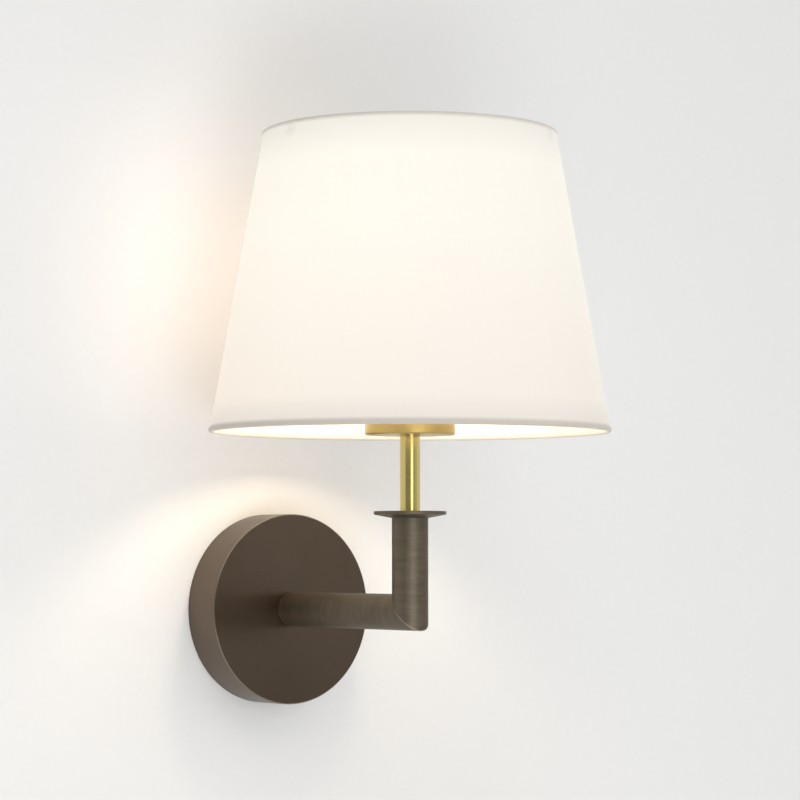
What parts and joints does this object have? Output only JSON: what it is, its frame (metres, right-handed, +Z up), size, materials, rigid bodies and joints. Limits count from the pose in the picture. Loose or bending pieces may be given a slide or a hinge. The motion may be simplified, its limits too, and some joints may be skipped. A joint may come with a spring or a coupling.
{
  "type": "wall lamp",
  "caption": "Wall lamp with a round wall plate, a straight arm mitred to an upright tube, a slim stem with a lampholder cup, and a tapered fabric shade open at both ends.",
  "frame": {"origin": "centre of the wall plate, on the wall plane", "axes": "+X to the right for someone who faces the wall, +Y into the wall, +Z up; the lamp stands out along -Y"},
  "size_m": [0.222, 0.2464, 0.3196],
  "materials": {
    "bronze": "satin dark bronze, lacquered",
    "steel": "zinc plated",
    "blackened_steel": "black oxide",
    "brass": "satin, lacquered",
    "black_thermoplastic": "moulded",
    "contact_brass": "bright",
    "white_wire_steel": "white powder coat",
    "liner": "translucent laminate",
    "cloth": "plain woven off-white cloth",
    "opal_glass": "opal, lit",
    "cap_aluminium": "rolled",
    "black_glass": "vitrite, glassy",
    "ivory_thermoplastic": "moulded",
    "brown_insulation": "soft",
    "blue_insulation": "soft",
    "green_yellow_insulation": "soft"
  },
  "bodies": {
    "lamp": {"backplate": "bronze", "arm_tube": "bronze", "upright_tube": "bronze", "collar": "bronze", "arm_bush": "steel", "arm_nipple": "steel", "arm_washer": "steel", "arm_nut": "steel", "wall_bracket": "steel", "cover_screws": "blackened_steel", "stem_sleeve": "brass", "lampholder_cup": "brass", "stem_rod": "steel", "holder_base": "black_thermoplastic", "holder_skirt": "black_thermoplastic", "holder_core": "black_thermoplastic", "holder_thread_shell": "contact_brass", "centre_contact": "contact_brass", "holder_terminals": "contact_brass", "holder_terminal_screws": "steel", "terminal_block": "ivory_thermoplastic", "terminal_sleeves": "contact_brass", "terminal_screws": "steel", "terminal_fixings": "steel", "earth_stud": "steel", "earth_tag": "contact_brass", "earth_washer": "steel", "earth_nut": "steel", "live_wire": "brown_insulation", "neutral_wire": "blue_insulation", "earth_wire": "green_yellow_insulation"},
    "shade": {"carrier_ring": "white_wire_steel", "carrier_arms": "white_wire_steel", "shade_bottom_ring": "white_wire_steel", "shade_top_ring": "white_wire_steel", "shade_liner": "liner", "shade_fabric": "cloth"},
    "clamp": {"shade_ring": "black_thermoplastic"},
    "bulb": {"bulb_glass": "opal_glass", "bulb_cap": "cap_aluminium", "bulb_insulator": "black_glass", "bulb_contact": "contact_brass"}
  },
  "joints": [
    {"name": "shade_turn", "type": "hinge", "parent": "lamp", "child": "shade", "pos_m": [0, -0.1354, 0.125], "axis": [0, 0, 1], "continuous": true},
    {"name": "clamp_turn", "type": "hinge", "parent": "lamp", "child": "clamp", "pos_m": [0, -0.1354, 0.13], "axis": [0, 0, 1], "continuous": true},
    {"name": "bulb_lift", "type": "slide", "parent": "lamp", "child": "bulb", "axis": [0, 0, 1], "range_m": [0, 0.14]}
  ]
}
